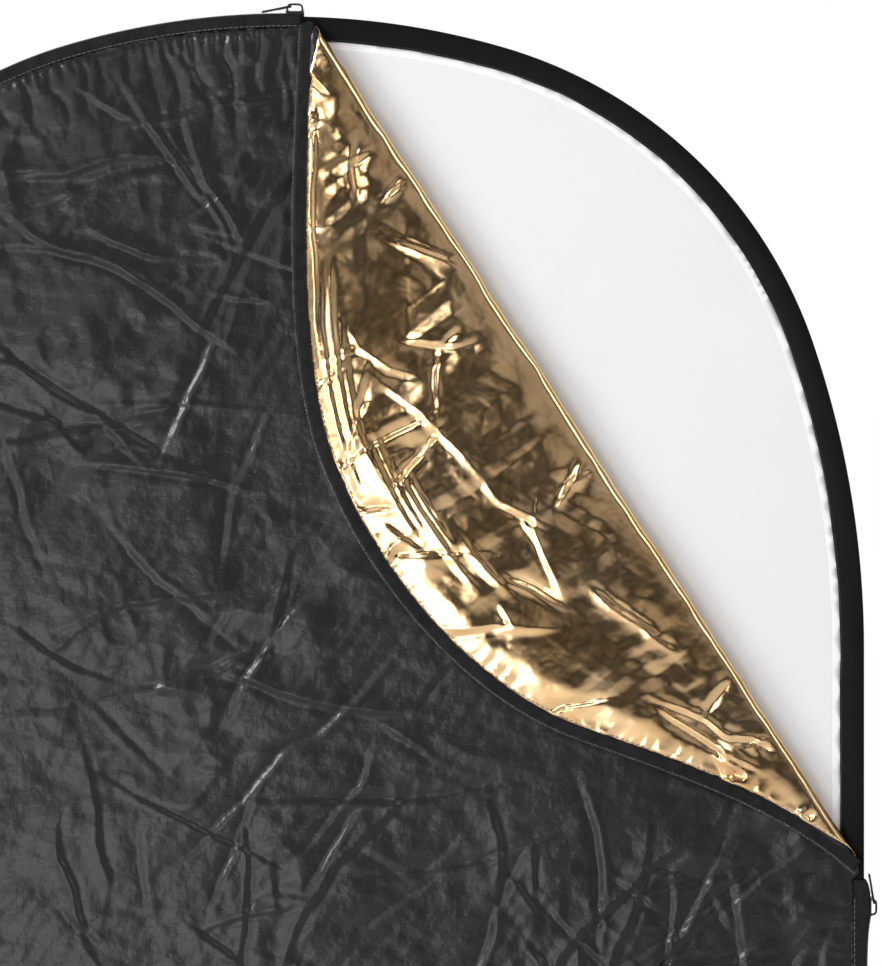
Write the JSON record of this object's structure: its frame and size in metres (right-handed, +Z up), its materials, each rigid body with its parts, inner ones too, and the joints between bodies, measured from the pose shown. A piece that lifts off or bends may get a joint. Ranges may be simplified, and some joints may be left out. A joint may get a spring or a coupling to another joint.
{
  "type": "collapsible oval reflector",
  "caption": "Oval collapsible light reflector: sprung hoop, white diffuser and a zip-on black and gold cover with one corner unzipped and folded back.",
  "frame": {"origin": "centre of the oval, in the middle plane of the diffuser", "axes": "+Z up along the oval's long axis, +Y to the back, the front and its folded corner face -Y, +X to the right seen from the front"},
  "size_m": [0.6076, 0.017, 0.9077],
  "materials": {
    "spring_steel": "blued flat spring steel",
    "ferrule_steel": "crimped plated steel",
    "sleeve_satin": "black satin, soft sheen along the weave",
    "black_thread": "polyester thread",
    "diffuser_cloth": "translucent white nylon",
    "hem_cloth": "doubled white nylon",
    "black_taffeta": "charcoal black taffeta, creased",
    "gold_foil": "metallised gold film on cloth, crinkled and glossy",
    "silver_foil": "metallised silver film on cloth, crinkled",
    "white_taffeta": "matt white cloth",
    "zip_tape": "ribbed polyester zip tape",
    "zip_coil": "black nylon coil",
    "grey_thread": "polyester thread",
    "tab_cloth": "black ribbon",
    "stop_metal": "blackened crimped metal",
    "slider_metal": "black enamel on die-cast zinc, worn at the edges",
    "pull_metal": "black enamel on stamped metal"
  },
  "bodies": {
    "frame": {"spring_band": "spring_steel", "band_ferrule": "ferrule_steel", "rim_sleeve": "sleeve_satin", "sleeve_thread": "black_thread", "diffuser_panel": "diffuser_cloth", "diffuser_hem": "hem_cloth", "front_outer": "black_taffeta", "front_lining": "gold_foil", "front_tape": "zip_tape", "front_coil": "zip_coil", "front_thread": "grey_thread", "back_outer": "silver_foil", "back_lining": "white_taffeta", "back_tape": "zip_tape", "back_coil": "zip_coil", "back_thread": "grey_thread", "zip_end_tab": "tab_cloth", "zip_end_stops": "stop_metal"},
    "flap": {"flap_outer": "black_taffeta", "flap_lining": "gold_foil", "flap_tape": "zip_tape", "flap_coil": "zip_coil", "flap_thread": "grey_thread"},
    "top_slider": {"top_slider_body": "slider_metal", "top_slider_bridge": "slider_metal"},
    "top_pull": {"top_slider_pull": "pull_metal"},
    "side_slider": {"side_slider_body": "slider_metal", "side_slider_bridge": "slider_metal"},
    "side_pull": {"side_slider_pull": "pull_metal"}
  },
  "joints": [
    {"name": "flap_fold", "type": "hinge", "parent": "frame", "child": "flap", "pos_m": [0.21093, -0.0075, 0.13698], "axis": [-0.5446, 0, 0.8387], "range_deg": [0, 178]},
    {"name": "top_zip", "type": "hinge", "parent": "frame", "child": "top_slider", "pos_m": [0, 0, 0.0465], "axis": [0, 1, 0], "range_deg": [-15, 0]},
    {"name": "top_pull_hinge", "type": "hinge", "parent": "top_slider", "child": "top_pull", "pos_m": [0.00207, 0, 0.4547], "axis": [0, 1, 0], "range_deg": [0, 165]},
    {"name": "side_zip", "type": "slide", "parent": "frame", "child": "side_slider", "axis": [0, 0, -1], "range_m": [0, 0.1]},
    {"name": "side_pull_hinge", "type": "hinge", "parent": "side_slider", "child": "side_pull", "pos_m": [0.3047, 0, -0.0103], "axis": [0, 1, 0], "range_deg": [0, 165]}
  ]
}
